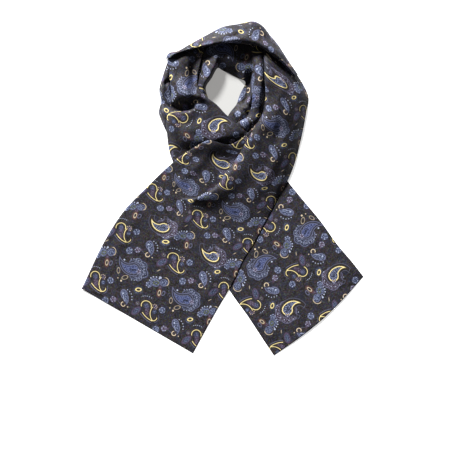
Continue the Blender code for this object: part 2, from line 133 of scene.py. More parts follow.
# Inner side of the neck, round the hole. The ridge is the lit lip on either side of the hole.
INNER = table("hole_x hole_y hole_z ridge_x ridge_y ridge out_x out_y out_z", [
    (-30, 194, 1, -39, 199, 8, -66, 207, 5),
    (-37, 222, 0, -42, 225, 20, -64, 236, 5),
    (-24, 244, 0, -29, 247, 23, -57, 261, 5),
    (-10, 266, 0, -16, 272, 22, -43, 294, 7),
    (-1, 261, 1, -8, 294, 20, -19, 322, 18),
    (16, 252, 1, 14, 292, 22, 12, 338, 20),
    (34, 243, 1, 36, 288, 20, 41, 340, 20),
    (49, 236, 11, 58, 275, 19, 69, 325, 15),
    (50, 230, 2, 66, 250, 18, 86, 283, 5),
    (42, 215, 0, 65, 222, 19, 86, 228, 4),
    (36, 201, 0, 60, 201, 17, 82, 198, 4),
    (31, 186, 0, 51, 183, 15, 77, 178, 4),
    (17, 168, 0, 41, 161, 13, 70, 152, 4),
    (5, 148, 0, 29, 138, 6, 58, 124, 3),
])

# Small pleat between the inner side and the upper tail, running down under the front band.
PLEAT = table("left_x left_y left_z crown_x crown_y crown right_x right_y right_z", [
    (63, 299, 4, 81, 299, 9, 97, 294, 3),
    (66, 274, 4, 85, 271, 14, 100, 266, 3),
    (70, 239, 4, 88, 239, 17, 102, 235, 3),
    (66, 206, 3, 86, 206, 18, 102, 200, 3),
    (63, 178, 3, 82, 175, 18, 98, 167, 3),
    (52, 156, 3, 72, 148, 15, 90, 138, 3),
    (32, 144, 2, 52, 131, 9, 72, 112, 3),
    (16, 128, 1, 37, 112, 5, 56, 90, 2),
])

# Layers that show beyond the left of the neck. The crest is set by its share of the way across.
LEFT_UNDER = table("out_x out_y out_z crest_at crest in_x in_y in_z", [
    (-121, 278, 1, 0.3, 7, -89, 281, 7),
    (-131, 248, 0, 0.3, 9, -87, 250, 7),
    (-139, 217, 0, 0.3, 11, -87, 219, 7),
    (-135, 193, 0, 0.3, 6, -85, 191, 7),
    (-140, 167, 0, 0.3, 10, -83, 167, 7),
    (-131, 142, 0, 0.3, 8, -78, 147, 7),
    (-120, 118, 0, 0.3, 4, -70, 125, 6),
])

# Roll of cloth across the back of the neck. out is its outer foot, nose its edge over the hole side,
# tuck the cloth turned under that edge, and under its height.
ROLL = table("out_x out_y nose_x nose_y nose crown tuck under", [
    (-124, 285, -113, 285, 16, 17, 3, 13),
    (-118, 296, -106, 291, 18, 20, 4, 14),
    (-98, 301, -87, 298, 20, 23, 5, 15),
    (-67, 319, -56, 305, 25, 29, 7, 18),
    (-34, 337, -23, 311, 32, 37, 10, 22),
    (-1, 354, 10, 316, 39, 43, 14, 27),
    (34, 361, 38, 315, 40, 45, 17, 28),
    (69, 367, 65, 312, 36, 43, 20, 24),
    (88, 357, 79, 309, 30, 40, 19, 20),
    (105, 336, 94, 300, 27, 37, 16, 18),
    (120, 318, 107, 290, 25, 34, 13, 17),
    (142, 283, 131, 272, 23, 29, 8, 16),
    (165, 250, 156, 245, 18, 21, 3, 13),
])

# Hidden layers of the wrap, as one rounded band under the neck.
CORE = table("x y half_width height", [
    (-40, 128, 20, 4),
    (-76, 170, 24, 7),
    (-88, 222, 23, 9),
    (-75, 270, 22, 10),
    (-34, 302, 20, 11),
    (24, 317, 24, 12),
    (74, 314, 26, 12),
    (108, 276, 22, 12),
    (133, 222, 26, 12),
    (134, 168, 24, 10),
    (116, 130, 20, 5),
])

# Creases, laid on in plan: a soft ridge where depth is above 0 and a soft trough where it is below. bow
# is how far one swings to the left in its middle, and left and right are its widths on either side.
CREASE = "x0 y0 x1 y1 bow left right depth"
TAIL_LEFT_CREASES = table(CREASE, [
    (150, 235, 118, 92, -6, 9, 9, -4),
    (138, 120, 60, -30, 8, 11, 11, 3),
    (158, 90, 92, -60, 5, 10, 10, 2.5),
    (-20, 88, -112, 6, 6, 10, 10, 3),
    (-60, -40, -130, -150, -5, 14, 14, 2.5),
    (-180, -40, -245, -150, 4, 14, 14, 2),
    (0, -120, -48, -260, 6, 15, 15, 2.5),
    (-290, -212, -215, -262, 0, 16, 16, 2.5),
    (-322, -198, -292, -244, 0, 16, 16, 2.5),
])
TAIL_RIGHT_CREASES = table(CREASE, [
    (205, -95, 262, -215, 6, 13, 13, 2.5),
    (120, -200, 190, -300, -6, 15, 15, 2.5),
    (60, -250, 110, -335, 4, 12, 12, 2),
    (255, -160, 292, -205, 3, 12, 12, 2.5),
])
FRONT_CREASES = table(CREASE, [
    (-124, 183, -60, 179, -9, 9, 4, -20),
    (-116, 120, -24, 142, -3, 26, 18, 5),
    (-110, 104, 26, 122, -8, 12, 12, 2),
    (-96, 80, 40, 108, -5, 10, 10, -4),
    (-62, 294, -60, 180, -3, 11, 10, -9),
    (54, 122, -12, 48, 3, 14, 13, -7),
    (-104, 276, -96, 204, -6, 9, 9, 3),
])
ROLL_CREASES = table(CREASE, [
    (-70, 312, 60, 346, -8, 4, 6, -3),
    (-60, 306, 60, 334, -6, 4, 5, 2.5),
    (30, 338, 150, 268, -14, 5, 5, -3.5),
    (56, 350, 146, 284, -8, 5, 5, 3),
    (64, 326, 128, 284, -4, 4, 4, 2.5),
])
INNER_CREASES = table(CREASE, [
    (60, 260, 47, 178, 4, 6, 10, -19),
    (70, 268, 58, 182, 5, 3, 3, 9),
    (34, 190, 60, 156, -2, 4, 4, -4),
    (20, 172, 56, 138, 2, 8, 8, 4),
])
UNDER_CREASES = table(CREASE, [
    (-116, 266, -106, 192, -3, 4, 3, -9),
    (-124, 262, -128, 196, -4, 4, 4, 5),
    (-136, 216, -112, 186, -3, 5, 5, 5),
    (-132, 204, -112, 172, -3, 4, 4, -6),
    (-128, 226, -104, 252, 0, 4, 4, -8),
    (-136, 178, -110, 136, -4, 5, 5, 6),
])
PLEAT_CREASES = table(CREASE, [
    (80, 262, 78, 176, 3, 5, 5, 2),
])


def steps_between(knots, axis):
    """Number of steps in each span between knots, so that the points end up about STEP apart."""
    gaps = np.linalg.norm(np.diff(knots, axis=axis), axis=-1).mean(axis=1 - axis)
    return np.maximum(np.ceil(gaps / STEP), LEAST_STEPS).astype(int)


def smooth(points, steps):
    """Points along a centripetal Catmull-Rom curve through the given ones, with a step count a span."""
    points = np.asarray(points, float)
    chain = np.vstack([2 * points[0] - points[1], points, 2 * points[-1] - points[-2]])
    curve = []
    for p0, p1, p2, p3, count in zip(chain, chain[1:], chain[2:], chain[3:], steps):
        pairs = ((p0, p1), (p1, p2), (p2, p3))
        knot_steps = [max(np.linalg.norm(b - a), LEAST_APART) ** 0.5 for a, b in pairs]
        t0, t1, t2, t3 = np.cumsum([0.0] + knot_steps)
        t = np.linspace(t1, t2, count, endpoint=False)[:, None]
        a1 = ((t1 - t) * p0 + (t - t0) * p1) / (t1 - t0)
        a2 = ((t2 - t) * p1 + (t - t1) * p2) / (t2 - t1)
        a3 = ((t3 - t) * p2 + (t - t2) * p3) / (t3 - t2)
        b1 = ((t2 - t) * a1 + (t - t0) * a2) / (t2 - t0)
        b2 = ((t3 - t) * a2 + (t - t1) * a3) / (t3 - t1)
        curve.extend(((t2 - t) * b1 + (t - t1) * b2) / (t2 - t1))
    return np.array(curve + [points[-1]])


def loft(sections):
    """Grid of points, along by across, through sections that each hold the same number of knots."""
    knots = np.array(sections)
    ribs = np.array([smooth(row, steps_between(knots, 1)) for row in knots])
    along = steps_between(knots, 0)
    return np.stack([smooth(ribs[:, i], along) for i in range(ribs.shape[1])], axis=1)


def blend(a, b, share):
    """Point or number that lies the given share of the way from a to b."""
    return a + (b - a) * share


def plan(x, y, z=0.0):
    """Point over a place in plan."""
    return np.array((x, y, z), float)


def up(height):
    """Step straight up from the floor."""
    return plan(0, 0, height)


def profile(start, end, heights):
    """Points over the line from start to end, each from its share of the way and its height."""
    return [blend(start, end, share) + up(height) for share, height in heights]


# How each kind of section is rounded between the points in its table. AT is a share of the way from one
# of them to the next, and RISE a share of the height that the section climbs there.
TAIL_SHOULDER_AT = 0.82     # from the nose to the outer selvedge
TAIL_SHOULDER_RISE = 0.62
TAIL_CROWN_AT = 0.42
TAIL_LAYER_AT = 0.55        # from the inner selvedge to the turn of the cloth inside the pleat
NOSE_SIDE = 0.8             # depth of the nose's side and of its underside below its top, in radii
NOSE_UNDER = 1.6
LEAST_NOSE = 1.0            # least height of the nose's round
PLEAT_SHUT = 12.0           # tuck from which a pleat is fully turned under
PLEAT_BEND = 2.6            # height taken up where the cloth turns back on itself inside a shut pleat
OPEN_BEND = 0.6             # share of that height in an open one
OPEN_TUCK = 0.85            # share of the tuck that the cloth above the turn reaches in an open one
TAIL_FLAT = (0, 0.12, 0.28, 0.47, 0.49, 0.5, 0.6, 0.62, 0.8, 1)     # AT of each knot where it lies flat
NOSE_KNOT = 4               # counted from the outer selvedge, as in TAIL_FLAT
TURN_KNOT = 7
LOWER_KNOTS = 5
FRONT_SHOULDER_AT = 0.35    # from the left edge to the crown
FRONT_SHOULDER_RISE = 0.62
FRONT_LIP_AT = 0.94         # across the whole section, to where it turns down to its inner edge
FRONT_LIP_FALL = 2 / 3      # share of the way down from the valley to that edge
INNER_BULGE_AT = 0.45       # from the hole to the ridge, which bulges above a straight slope
INNER_BULGE = 0.18
INNER_DIP_AT = 0.5          # from the ridge outwards, which hangs below a straight slope
INNER_DIP = 0.1
PLEAT_BULGE_AT = 0.5        # from the left edge to the crown of the small pleat
PLEAT_BULGE = 0.22
PLEAT_SLOPE_AT = 0.4        # from its crown to its right edge
UNDER_SHOULDER_AT = 0.4     # from the left edge to the crest
UNDER_SHOULDER_RISE = 0.65
ROLL_SHOULDERS = ((0.04, 0.45), (0.20, 0.66), (0.62, 0.88))     # AT, from foot to nose, and RISE
ROLL_ROUND = 0.8            # how far the nose stands out, in half its depth
ROLL_EDGE_DROP = 1.0        # how far the edge of the cloth turned under hangs down
ARCH_KNOTS = 9


def tail_left_knots(row):
    """Section of the upper tail: outer selvedge, crown, nose, turn inside the pleat, inner selvedge."""
    inner = plan(row.in_x, row.in_y, row.in_z)
    nose = plan(row.nose_x, row.nose_y)
    outer = plan(row.out_x, row.out_y, row.out_z)
    reach = plan(row.out_x, row.out_y) - nose
    outward = reach / np.linalg.norm(reach)
    shut = min(max(row.tuck / PLEAT_SHUT, 0), 1)
    turn = nose + outward * row.tuck + up(row.low)
    above_turn = nose + outward * row.tuck * blend(OPEN_TUCK, 1, shut)
    radius = max(row.nose_z - row.low - PLEAT_BEND, LEAST_NOSE) / 2
    folded = [
        outer,
        nose + reach * TAIL_SHOULDER_AT + up(row.crown * TAIL_SHOULDER_RISE),
        nose + reach * TAIL_CROWN_AT + up(row.crown),
        nose + outward * radius + up(row.nose_z),
        nose + up(row.nose_z - NOSE_SIDE * radius),
        nose + outward * radius * shut + up(row.nose_z - NOSE_UNDER * radius),
        above_turn + up(row.low + PLEAT_BEND * blend(OPEN_BEND, 1, shut)),
        turn,
        blend(inner, turn, TAIL_LAYER_AT),
        inner,
    ]
    flat = [blend(outer, inner, share) for share in TAIL_FLAT]
    return [blend(a, b, row.open) for a, b in zip(folded, flat)]


def tail_right_knots(row):
    """Section of the lower tail, bowed towards the hem and raised in its middle."""
    left, right = plan(row.left_x, row.left_y), plan(row.right_x, row.right_y)
    side = right - left
    hemward = plan(side[1], -side[0]) / np.linalg.norm(side)
    swell = hemward * row.bow + up(row.middle)
    shares = np.linspace(0, 1, LOWER_KNOTS)
    return [blend(left, right, share) + swell * math.sin(math.pi * share) for share in shares]


def front_knots(row):
    """Section of the front band or of the left of the neck."""
    return profile(plan(row.out_x, row.out_y), plan(row.in_x, row.in_y), [
        (0, row.out_z),
        (row.crown_at * FRONT_SHOULDER_AT, blend(row.out_z, row.crown, FRONT_SHOULDER_RISE)),
        (row.crown_at, row.crown),
        (row.valley_at, row.valley),
        (FRONT_LIP_AT, blend(row.valley, row.in_z, FRONT_LIP_FALL)),
        (1, row.in_z),
    ])


def inner_knots(row):
    """Section of the inner side, from where other layers hide it to the hole."""
    hole = plan(row.hole_x, row.hole_y, row.hole_z)
    ridge = plan(row.ridge_x, row.ridge_y, row.ridge)
    outer = plan(row.out_x, row.out_y, row.out_z)
    dip = blend(ridge, outer, INNER_DIP_AT) - up(INNER_DIP * row.ridge)
    bulge = blend(hole, ridge, INNER_BULGE_AT) + up(INNER_BULGE * row.ridge)
    return [outer, dip, ridge, bulge, hole]


def pleat_knots(row):
    """Section of the small pleat."""
    left = plan(row.left_x, row.left_y, row.left_z)
    crown = plan(row.crown_x, row.crown_y, row.crown)
    right = plan(row.right_x, row.right_y, row.right_z)
    slope = blend(crown, right, PLEAT_SLOPE_AT)
    bulge = blend(left, crown, PLEAT_BULGE_AT) + up(PLEAT_BULGE * (row.crown - row.left_z))
    return [right, slope, crown, bulge, left]


def under_knots(row):
    """Section of the layers beyond the left of the neck."""
    return profile(plan(row.out_x, row.out_y), plan(row.in_x, row.in_y), [
        (0, row.out_z),
        (row.crest_at * UNDER_SHOULDER_AT, row.crest * UNDER_SHOULDER_RISE),
        (row.crest_at, row.crest),
        (1, row.in_z),
    ])


def roll_knots(row):
    """Section of the roll: outer foot, shoulders, crown, nose, and the edge turned under."""
    foot, nose = plan(row.out_x, row.out_y), plan(row.nose_x, row.nose_y)
    back = (foot - nose) / np.linalg.norm(foot - nose)
    depth = (row.nose - row.under) / 2
    behind_nose = nose + back * depth * ROLL_ROUND
    return [
        foot,
        *profile(foot, nose, [(share, rise * row.crown) for share, rise in ROLL_SHOULDERS]),
        behind_nose + up(row.crown),
        nose + up(row.nose - depth),
        behind_nose + up(row.under),
        nose + back * (row.tuck + depth) + up(row.under - ROLL_EDGE_DROP),
    ]


def core_grid():
    """Arched grid over the hidden layers."""
    path = np.array([plan(row.x, row.y) for row in CORE])
    run = np.gradient(path, axis=0)
    side = np.stack([-run[:, 1], run[:, 0], run[:, 2]], axis=1) / np.linalg.norm(run, axis=1)[:, None]
    turns = np.linspace(0, math.pi, ARCH_KNOTS)
    sections = []
    for centre, across, row in zip(path, side, CORE):
        reach, rise = across * row.half_width, up(row.height)
        sections.append([centre + reach * math.cos(turn) + rise * math.sin(turn) for turn in turns])
    return loft(sections)


CREASE_TAPER = 0.6      # below 1, so that a crease is nearly full for most of its length


def lay_creases(grid, creases):
    """Raise or lower the points of a grid along each crease."""
    for crease in creases:
        start = plan(crease.x0, crease.y0)[:2]
        run = plan(crease.x1, crease.y1)[:2] - start
        length = np.linalg.norm(run)
        run /= length
        offset = grid[..., :2] - start
        share = np.clip(offset @ run / length, 0, 1)
        aside = offset @ np.array((-run[1], run[0])) - 4 * crease.bow * share * (1 - share)
        taper = np.sin(math.pi * share) ** CREASE_TAPER
        width = np.where(aside > 0, crease.left, crease.right)
        grid[..., 2] += crease.depth * taper * np.exp(-(aside / width) ** 2)
    grid[..., 2] = np.maximum(grid[..., 2] - FLAT_BELOW, 0)


def draw_back(grid, row, step):
    """Draw one end row of a grid back by half the seam gap, towards the row that lies a step away."""
    run = grid[row + step] - grid[row]
    grid[row] += run / np.linalg.norm(run, axis=1, keepdims=True) * SEAM_GAP / 2


def ground_foot(grid, knots):
    """Bring the first span of a raised grid back down to the floor at its outer edge."""
    foot = steps_between(np.array(knots), 1)[0] + 1
    grid[:, :foot, 2] *= np.linspace(0, 1, foot)


def cells_of(points):
    """Place of each point on the plan lattice, in cells along X and along Y."""
    return [(points[..., axis] + PLAN_HALF[axis]) / CELL for axis in (0, 1)]


def footprint(grid, pick):
    """Highest or lowest height of a grid over each plan cell, NaN where it doesn't reach."""
    empty = -np.inf if pick is np.maximum else np.inf
    heights = np.full(PLAN_CELLS, empty)
    shares = np.arange(FACE_SAMPLES) / FACE_SAMPLES
    for u in shares:
        rows = blend(grid[:-1], grid[1:], u)
        for v in shares:
            points = blend(rows[:, :-1], rows[:, 1:], v)
            i, j = (np.rint(c).astype(int) for c in cells_of(points))
            pick.at(heights, (i.ravel(), j.ravel()), points[..., 2].ravel())
    return np.where(np.isinf(heights), np.nan, heights)


def spread(field):
    """Largest value within the spread, then averaged over it, so the result never falls below field."""
    for pick in (np.max, np.mean):
        for axis in (0, 1):
            margin = [(0, 0), (0, 0)]
            margin[axis] = (SPREAD_CELLS, SPREAD_CELLS)
            padded = np.pad(field, margin, "edge")
            window = np.lib.stride_tricks.sliding_window_view(padded, 2 * SPREAD_CELLS + 1, axis=axis)
            field = pick(window, axis=-1)
    return field


def with_neighbours(field, pick):
    """Each cell's height, taken together with those of the four cells beside it."""
    wide = np.pad(field, 1, constant_values=np.nan)
    joined = field
    for beside in (wide[:-2, 1:-1], wide[2:, 1:-1], wide[1:-1, :-2], wide[1:-1, 2:]):
        joined = pick(joined, beside)
    return np.where(np.isnan(field), np.nan, joined)


def settle(grid, heap):
    """Raise a grid until it clears the heap, and give the heap with the grid on it.

    The heap is the height of all that lies on each plan cell, NaN where nothing does.
    """
    for _ in range(SETTLE_PASSES):
        underside = footprint(grid, np.minimum)
        short = with_neighbours(heap, np.fmax) + LAYER_GAP - with_neighbours(underside, np.fmin)
        rise = spread(np.where(np.isnan(short), 0, np.maximum(short, 0)))
        u, v = cells_of(grid)
        i, j = u.astype(int), v.astype(int)
        near = blend(rise[i, j], rise[i, j + 1], v - j)
        far = blend(rise[i + 1, j], rise[i + 1, j + 1], v - j)
        grid[..., 2] += blend(near, far, u - i)
    return np.fmax(heap, footprint(grid, np.maximum) + WALL)


def spacing(row):
    """Distance of each point of a row from its first, along the row."""
    return np.append(0, np.cumsum(np.linalg.norm(np.diff(row, axis=0), axis=-1)))


def lay_flat(grid, turn=0.0):
    """Where each point of a grid lies on the flat cloth, with each section as a straight line there.

    turn is the first section's direction on the cloth, in degrees.
    """
    flat = np.zeros(grid.shape[:2] + (2,))
    flat[0] = spacing(grid[0])[:, None] * compass(turn)[:2]
    for row in range(1, len(grid)):
        side = np.gradient(grid[row - 1], axis=0)
        side /= np.linalg.norm(side, axis=1, keepdims=True)
        run = grid[row] - grid[row - 1]
        slide = (run * side).sum(axis=1, keepdims=True)
        gain = np.sqrt(np.maximum((run ** 2).sum(axis=1, keepdims=True) - slide ** 2, 0))
        tangent = (flat[row - 1, -1] - flat[row - 1, 0]) / spacing(grid[row - 1])[-1]
        guess = flat[row - 1] + slide * tangent + gain * (-tangent[1], tangent[0])
        reach = spacing(grid[row])[:, None]
        middle, centre = reach.mean(), guess.mean(axis=0)
        heading = ((reach - middle) * (guess - centre)).sum(axis=0)
        flat[row] = centre + (reach - middle) * heading / np.linalg.norm(heading)
    return flat[..., 0], flat[..., 1]


def lay_pleated(grid, knots):
    """The same for the upper tail. What its width lacks is taken up by the cloth inside the pleat."""
    across = np.array([spacing(row) for row in grid])
    run = np.linalg.norm(np.diff(grid, axis=0), axis=-1)
    straight = np.sqrt(np.maximum(run ** 2 - np.diff(across, axis=0) ** 2, (LEAST_RUN * run) ** 2))
    along = np.zeros(grid.shape[:2])
    along[:-1] = -np.cumsum(straight[::-1], axis=0)[::-1]
    gather = np.interp(across, (0, GATHERED_AT), GATHERS)
    along = np.where(along < GATHER_FROM, blend(GATHER_FROM, along, gather), along)
    rows, columns = (np.append(0, np.cumsum(steps_between(np.array(knots), axis))) for axis in (0, 1))
    curled = CURLED_IN * (1 - np.interp(np.arange(len(grid)), rows, [row.open for row in TAIL_LEFT]))
    slack = CLOTH_WIDTH - curled - across[:, -1]
    share = (np.arange(grid.shape[1]) - columns[NOSE_KNOT]) / (columns[TURN_KNOT] - columns[NOSE_KNOT])
    return across + np.clip(share, 0, 1) * slack[:, None], along


def add_object(name, data):
    """Object that shows the given data, put in the scene."""
    added = bpy.data.objects.new(name, data)
    bpy.context.scene.collection.objects.link(added)
    return added


def add_shell(name, grid, material, across, along):
    """Thin shell over a grid that gives the height of its underside. It carries the cloth's map."""
    rows, columns = grid.shape[:2]
    index = np.arange(rows * columns).reshape(rows, columns)
    corners = (index[:-1, :-1], index[1:, :-1], index[1:, 1:], index[:-1, 1:])
    faces = np.stack([c.ravel() for c in corners], axis=1)
    points = grid.reshape(-1, 3) + up(WALL / 2)
    a, b, c = points[faces[:, 0]], points[faces[:, 1]], points[faces[:, 2]]
    if np.cross(b - a, c - a)[:, 2].sum() < 0:      # the faces look down
        faces = faces[:, ::-1]
    mesh = bpy.data.meshes.new(name)
    mesh.from_pydata((points * MM).tolist(), [], faces.tolist())
    mesh.shade_smooth()
    cloth_map = mesh.uv_layers.new(name="cloth")
    places = np.stack([across.ravel(), along.ravel()], axis=1) * MM
    cloth_map.data.foreach_set("uv", places[faces.ravel()].ravel())
    mesh.materials.append(material)
    shell = add_object(name, mesh)
    wall = shell.modifiers.new("wall", "SOLIDIFY")
    wall.thickness = WALL * MM
    wall.offset = 0
    return shell


# Print of the silk. It is charted on the flat cloth in millimetres: across from the outer selvedge and
# along towards the upper tail's hem. Hooks stand in every row. The large and the small paisley take
# turns between them, so the whole repeat is two rows long.
REPEAT_ACROSS = 126.5
ROW_PITCH = 121.0       # from one row of motifs to the next
CHART_TURN = 151.3      # degrees from across to the right-hand side of a motif drawn upright
EDGE_SOFT = 0.45        # half the width over which one ink gives way to the next
LINE_HALF = 0.7         # half width of a fine drawn line
GOLD_HALF = 0.62        # half width of a golden line
WIDE_ARC = 60           # half angle in degrees above which an arc is cut off along its chord
LACE_CELL = 3.0         # size of the small cells that a motif is filled with
LACE_FADE = (0.2, 0.75)  # distances from a cell's middle, in cells, between which its ink thins out
LACE_THIN = 0.25        # strength of the thinned ink
HEART_REACH = 0.24      # radius of a cell's pale heart, in cells
HEART_SOFT = 0.35
NOISE_DETAIL = 3.0
TWILL_TURN = 45.0       # degrees from across to the direction over the twill's ribs
TWILL_PITCH = 1.1       # from rib to rib
TWILL_DEPTH = 0.04      # height of a rib
TWILL_STRENGTH = 0.3


def linear(red, green, blue):
    """Linear colour from its everyday 0 to 255 values, by the sRGB curve."""
    levels = [value / 255 for value in (red, green, blue)]
    return (*(c / 12.92 if c <= 0.04045 else ((c + 0.055) / 1.055) ** 2.4 for c in levels), 1.0)


BLACK = linear(10, 9, 11)
CHARCOAL = linear(32, 28, 27)
NAVY = linear(26, 28, 40)
BROWN = linear(44, 35, 31)
SLATE = linear(64, 74, 105)
BLUE = linear(62, 72, 120)
LILAC = linear(100, 102, 128)
PALE = linear(176, 184, 208)
GOLD = linear(236, 218, 152)
CREAM = linear(206, 188, 160)
RUST = linear(98, 58, 48)
OLIVE = linear(74, 80, 58)
PLUM = linear(76, 58, 80)


class Field:
    """A number or a vector that the nodes of a material work out over the surface."""

    tree = None         # nodes of the material that is being made
    lace = None         # strength of a motif's ink at each place in the lace of small cells
    hearts = None       # distance outside the pale hearts of those cells

    def __init__(self, socket):
        self.socket = socket

    def __add__(self, other):
        return calc("ADD", self, other)

    def __sub__(self, other):
        return calc("SUBTRACT", self, other)

    def __rsub__(self, other):
        return calc("SUBTRACT", other, self)

    def __mul__(self, other):
        return calc("MULTIPLY", self, other)

    def __abs__(self):
        return calc("ABSOLUTE", self)


def add_node(kind, inputs, **settings):
    """Node of the current material, with its settings made and its inputs set or linked in order."""
    node = Field.tree.nodes.new(kind)
    for key, value in settings.items():
        setattr(node, key, value)
    slots = [slot for slot in node.inputs if slot.enabled]
    for slot, value in zip(slots, inputs):
        if isinstance(value, Field):
            Field.tree.links.new(value.socket, slot)
        elif value is not None:
            slot.default_value = value
    return node


def result(node):
    """Field at a node's first output."""
    return Field(next(socket for socket in node.outputs if socket.enabled))


def calc(operation, *terms):
    """Number worked out from others."""
    return result(add_node("ShaderNodeMath", terms, operation=operation))


def vector(operation, *terms):
    """Vector or number worked out from vectors."""
    return result(add_node("ShaderNodeVectorMath", terms, operation=operation))


def least(*fields):
    """Union of shapes."""
    joined = fields[0]
    for other in fields[1:]:
        joined = calc("MINIMUM", joined, other)
    return joined


def most(*fields):
    """Overlap of shapes."""
    joined = fields[0]
    for other in fields[1:]:
        joined = calc("MAXIMUM", joined, other)
    return joined


def compass(degrees):
    """Direction in the flat, turned the given degrees from the first axis."""
    return (math.cos(math.radians(degrees)), math.sin(math.radians(degrees)), 0.0)


def disc(spot, x, y, radius):
    """Distance outside a disc. Every shape here is such a distance, below 0 inside."""
    return vector("DISTANCE", spot, (x, y, 0.0)) - radius


def oval(spot, x, y, long, wide, turn):
    """Oval with half sizes long and wide, turned from lying by the given degrees."""
    place, tilt, size = (x, y, 0.0), (0.0, 0.0, math.radians(turn)), (long, wide, 1.0)
    local = result(add_node("ShaderNodeMapping", (spot, place, tilt, size), vector_type="TEXTURE"))
    small = min(long, wide)
    return calc("MULTIPLY_ADD", vector("LENGTH", local), small, -small)


def arc(spot, x, y, radius, towards, half):
    """Bare line along part of a circle, half to either side of the direction towards, in degrees."""
    offset = vector("SUBTRACT", spot, (x, y, 0.0))
    ring = abs(vector("LENGTH", offset) - radius)
    ahead = vector("DOT_PRODUCT", offset, compass(towards))
    if half > WIDE_ARC:
        return most(ring, radius * math.cos(math.radians(half)) - ahead)
    aside = abs(vector("DOT_PRODUCT", offset, compass(towards + 90)))
    return most(ring, aside - radius * math.sin(math.radians(half)), ahead * -1.0)


def split(spot):
    """First and second number of a vector."""
    parts = add_node("ShaderNodeSeparateXYZ", (spot,))
    return Field(parts.outputs["X"]), Field(parts.outputs["Y"])


def polar(spot, x, y):
    """Distance and direction, in radians, from a centre."""
    offset = vector("SUBTRACT", spot, (x, y, 0.0))
    ahead, aside = split(offset)
    return vector("LENGTH", offset), calc("ARCTAN2", aside, ahead)


def beads(spot, x, y, radius, bead, pitch, towards, half):
    """Dots of radius bead on part of a circle, pitch degrees apart."""
    reach, turn = polar(spot, x, y)
    turned = calc("WRAP", turn - math.radians(towards), math.pi, -math.pi)
    step = math.radians(pitch) / 2
    aside = calc("WRAP", turned, step, -step) * radius
    place = result(add_node("ShaderNodeCombineXYZ", (aside, reach - radius)))
    return most(vector("LENGTH", place) - bead, (abs(turned) - math.radians(half)) * radius)


def teardrop(spot, body, belly, nape, right, top):
    """Paisley drop: a round body, and a tail between the circles of its belly and its nape.

    The tail ends at right and at top, on the two axes.
    """
    across, along = split(spot)
    tail = most(disc(spot, *belly), disc(spot, *nape) * -1.0, across - right, along - top)
    return least(disc(spot, *body), tail)


def fan(spot, x, y, base, reach, scallop, lobes):
    """Fan of radius base, with a scalloped brim and a further reach to the right."""
    length, turn = polar(spot, x, y)
    wave = abs(calc("SINE", turn * lobes))
    brim = calc("MULTIPLY_ADD", calc("COSINE", turn), reach, wave * scallop + base)
    return length - brim


def line(shape, half=LINE_HALF):
    """Outline of a shape."""
    return abs(shape) - half


def paint(colour, ink, shape, strength=1.0, soft=EDGE_SOFT):
    """Colour with an ink laid over it inside a shape."""
    cover = result(add_node("ShaderNodeMapRange", (shape, -soft, soft, strength, 0.0),
                            interpolation_type="SMOOTHSTEP"))
    return result(add_node("ShaderNodeMix", (cover, colour, ink), data_type="RGBA"))


def fill(colour, ink, shape, strength=0.9, soft=0.8, heart=0.5):
    """Colour with an ink laid inside a shape as a lace of small cells with pale hearts."""
    colour = paint(colour, ink, shape, Field.lace * strength, soft)
    return paint(colour, PALE, most(shape + LACE_CELL / 2, Field.hearts), heart, HEART_SOFT)


def blossom(colour, spot, x, y, size, ink):
    """Small round flower with pale stamens."""
    head = disc(spot, x, y, size)
    colour = fill(colour, ink, head, 1.0, 1.0)
    colour = paint(colour, LILAC, line(head + 0.6, 0.5), 0.5)
    return paint(colour, PALE, beads(spot, x, y, size * 0.8, 0.9, 72, 100, 180), 0.75)


# Motifs. Each is drawn upright round its own middle, as a list of marks that lie one over another. A
# mark is the function that lays it on, with what that function takes after the colour. The numbers of a
# shape are those that its own function names.


def draw_hook(spot):
    """Open golden hook with a leaf beside it and a row of dots over its bow."""
    stroke = least(
        arc(spot, -4.7, 9.5, 10.6, 85, 100),
        arc(spot, 26.0, -7.5, 22.8, 180, 40),
        arc(spot, 24.7, 18.7, 45.0, 229.4, 17.4),
        arc(spot, 10.5, -14.6, 8.0, 292, 50),
    )
    return [
        (fill, SLATE, oval(spot, -27, -2, 12, 6.5, 38), 0.7, 1.4, 0.2),
        (paint, PLUM, line(oval(spot, -27, -2, 11, 5.6, 38), 0.8), 0.8),
        (paint, CREAM, oval(spot, -34, -20, 4.0, 0.9, 30), 0.5),
        (fill, PLUM, disc(spot, -23, 14, 4.8), 0.9, 1.0),
        (paint, OLIVE, line(disc(spot, -23, 14, 2.4), 0.7), 0.7),
        (fill, PLUM, oval(spot, -4, -1, 14, 4.8, 88), 0.8, 1.5, 0.2),
        (fill, SLATE, disc(spot, -4.5, 10, 5.5), 0.7, 1.5, 0.2),
        (fill, PLUM, disc(spot, 14, 8, 5.6), 0.8, 1.0),
        (paint, CREAM, beads(spot, 13, 8, 5.4, 0.9, 45, 40, 100), 0.75),
        (fill, SLATE, disc(spot, 13, -3, 4.4), 0.9, 1.0),
        (paint, PALE, beads(spot, -4.7, 9.5, 20.8, 0.95, 12, 82, 34), 0.65),
        (paint, LILAC, arc(spot, 24.7, 18.7, 49.6, 229, 17) - 0.5, 0.8),
        (paint, LILAC, arc(spot, 10.5, -14.6, 12.0, 330, 45) - 0.5, 0.6),
        (paint, BROWN, stroke - 2.4, 0.8, 0.9),
        (paint, GOLD, stroke - GOLD_HALF, 0.95),
        (blossom, spot, 30, 1, 7, SLATE),
        (blossom, spot, 16, -41, 7.5, SLATE),
        (blossom, spot, 34, -39, 6.5, PLUM),
    ]


